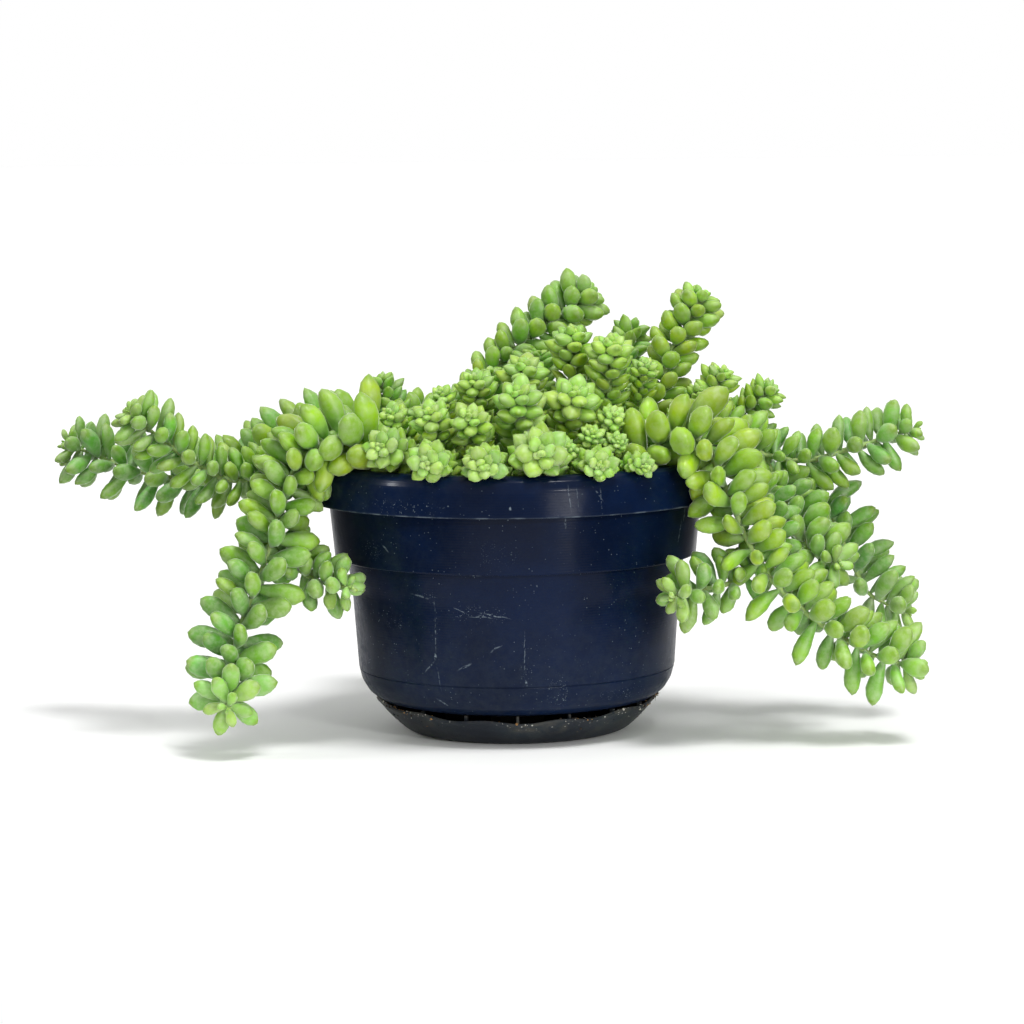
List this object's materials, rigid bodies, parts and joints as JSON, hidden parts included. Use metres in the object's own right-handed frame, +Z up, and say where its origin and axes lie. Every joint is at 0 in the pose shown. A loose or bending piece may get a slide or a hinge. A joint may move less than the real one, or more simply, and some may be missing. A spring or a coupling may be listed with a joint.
{
  "type": "potted burro's tail plant",
  "caption": "Trailing succulent with plump beaded leaves on drooping stems, rooted in soil in a round plastic nursery pot with a deep rim and a clip-on drip saucer.",
  "frame": {"origin": "middle of the saucer's flat base, on the surface that the pot stands on", "axes": "+Z up, -Y towards the front of the plant, X along the width that the trailing tails reach across"},
  "size_m": [0.4, 0.2374, 0.2044],
  "materials": {
    "leaves": "satin",
    "pot_plastic": "satin",
    "saucer_plastic": "matte",
    "soil": "matte"
  },
  "bodies": {
    "root": {"pot": "pot_plastic", "saucer": "saucer_plastic", "soil": "soil", "tail_back_tall": "leaves", "tail_crown_1": "leaves", "tail_crown_2": "leaves", "tail_crown_3": "leaves", "tail_crown_4": "leaves", "tail_crown_5": "leaves", "tail_crown_6": "leaves", "tail_crown_7": "leaves", "tail_crown_8": "leaves", "tail_front_1": "leaves", "tail_front_2": "leaves", "tail_front_3": "leaves", "tail_front_4": "leaves", "tail_front_5": "leaves", "tail_front_6": "leaves", "tail_left_front_long": "leaves", "tail_left_inner": "leaves", "tail_left_long": "leaves", "tail_left_raised": "leaves", "tail_left_short": "leaves", "tail_middle_1": "leaves", "tail_middle_2": "leaves", "tail_middle_3": "leaves", "tail_middle_4": "leaves", "tail_middle_5": "leaves", "tail_middle_6": "leaves", "tail_middle_7": "leaves", "tail_rear_1": "leaves", "tail_rear_10": "leaves", "tail_rear_11": "leaves", "tail_rear_12": "leaves", "tail_rear_13": "leaves", "tail_rear_14": "leaves", "tail_rear_15": "leaves", "tail_rear_16": "leaves", "tail_rear_2": "leaves", "tail_rear_3": "leaves", "tail_rear_4": "leaves", "tail_rear_5": "leaves", "tail_rear_6": "leaves", "tail_rear_7": "leaves", "tail_rear_8": "leaves", "tail_rear_9": "leaves", "tail_rear_trailing_left": "leaves", "tail_rear_trailing_middle": "leaves", "tail_rear_trailing_right": "leaves", "tail_right_back_long": "leaves", "tail_right_front_long": "leaves", "tail_right_inner": "leaves", "tail_right_level": "leaves", "tail_right_middle": "leaves", "tail_right_rear_short": "leaves", "tail_right_short_1": "leaves", "tail_right_short_2": "leaves", "tail_right_short_3": "leaves", "tail_right_tall": "leaves"}
  },
  "joints": []
}
